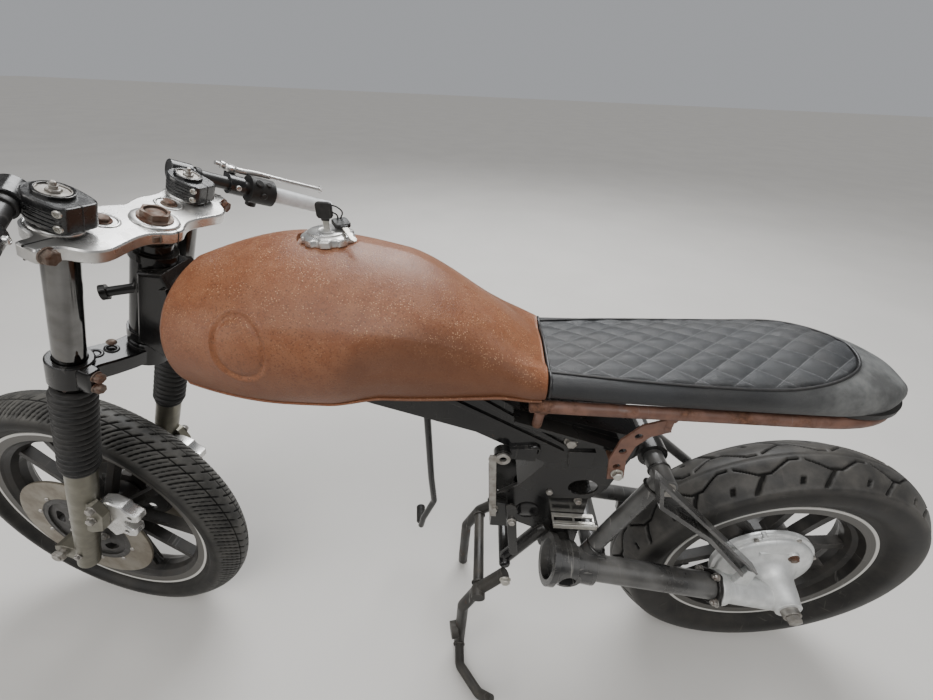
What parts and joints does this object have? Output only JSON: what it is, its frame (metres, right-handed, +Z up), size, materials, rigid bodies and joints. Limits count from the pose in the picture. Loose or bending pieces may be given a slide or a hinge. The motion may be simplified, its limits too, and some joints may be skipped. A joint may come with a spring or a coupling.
{
  "type": "cafe racer motorcycle",
  "caption": "Engineless rolling chassis of a shaft-drive cafe racer motorcycle on its centre stand: rusty bare tank, quilted seat, clip-on bars and cast wheels.",
  "frame": {"origin": "on the floor below the middle of the machine's outer box, in the centre plane", "axes": "+X forwards, +Y to the rider's left, +Z up; the floor is Z = 0"},
  "size_m": [2.1452, 0.6747, 1.0951],
  "materials": {
    "rusted_steel": "bare steel under an even orange-brown rust",
    "black_frame": "gloss black enamel, scuffed and oily",
    "cast_alloy": "polished cast alloy gone slightly dull",
    "drive_alloy": "silver painted casting",
    "chrome_tube": "hard chrome with light haze",
    "steel_parts": "plain steel with light rust",
    "black_wheel": "black cast wheel with a bare machined rim edge",
    "tyre_rubber": "dusty road tyre",
    "soft_rubber": "matt moulded rubber",
    "seat_leather": "charcoal synthetic leather, quilted on top",
    "black_plastic": "moulded black plastic",
    "white_plastic": "white throttle sleeve",
    "black_alloy": "gloss black anodised clamp"
  },
  "bodies": {
    "chassis": {"steering_head": "black_frame", "backbone": "black_frame", "lower_frame": "black_frame", "frame_brackets": "steel_parts", "engine_strap": "steel_parts", "fuel_tank": "rusted_steel", "filler_cap": "cast_alloy", "cap_key": "steel_parts", "seat_pad": "seat_leather", "seat_pan": "black_plastic", "seat_loop": "rusted_steel", "seat_brackets": "rusted_steel", "brake_pedal": "black_frame", "pedal_rubber": "soft_rubber", "swingarm": "black_frame", "shock_absorber": "black_frame", "shock_boot": "soft_rubber", "final_drive": "drive_alloy", "rear_axle": "steel_parts", "brake_panel": "drive_alloy", "brake_torque_rod": "steel_parts"},
    "steering": {"lower_clamp": "black_frame", "upper_clamp": "cast_alloy", "stem_nut": "steel_parts", "fork_tubes": "chrome_tube", "fork_caps": "steel_parts", "fork_gaiters": "soft_rubber", "slider_left": "cast_alloy", "slider_right": "cast_alloy", "caliper_brackets": "cast_alloy", "front_axle": "steel_parts", "clip_on_left": "black_alloy", "clip_on_right": "black_alloy", "handlebars": "black_frame", "throttle_tube": "white_plastic", "grip_left": "soft_rubber", "switch_right": "black_plastic", "lever_perches": "black_alloy", "levers": "cast_alloy"},
    "front_wheel": {"front_wheel": "black_wheel", "front_tyre": "tyre_rubber", "front_discs": "steel_parts"},
    "rear_wheel": {"rear_wheel": "black_wheel", "rear_tyre": "tyre_rubber"},
    "centre_stand": {"centre_stand": "black_frame"}
  },
  "joints": [
    {"name": "steering_turn", "type": "hinge", "parent": "chassis", "child": "steering", "pos_m": [0.6872, 0, 0.2993], "axis": [-0.4067, 0, 0.9135], "range_deg": [-24.3, 39.7]},
    {"name": "front_wheel_spin", "type": "hinge", "parent": "steering", "child": "front_wheel", "pos_m": [0.75057, -0.00938, 0.32752], "axis": [0.1224, 0.991, 0.0545], "continuous": true},
    {"name": "rear_wheel_spin", "type": "hinge", "parent": "chassis", "child": "rear_wheel", "pos_m": [-0.75, 0, 0.323], "axis": [0, 1, 0], "continuous": true},
    {"name": "centre_stand_fold", "type": "hinge", "parent": "chassis", "child": "centre_stand", "pos_m": [-0.173, 0, 0.322], "axis": [0, 1, 0], "range_deg": [0, 95]}
  ]
}
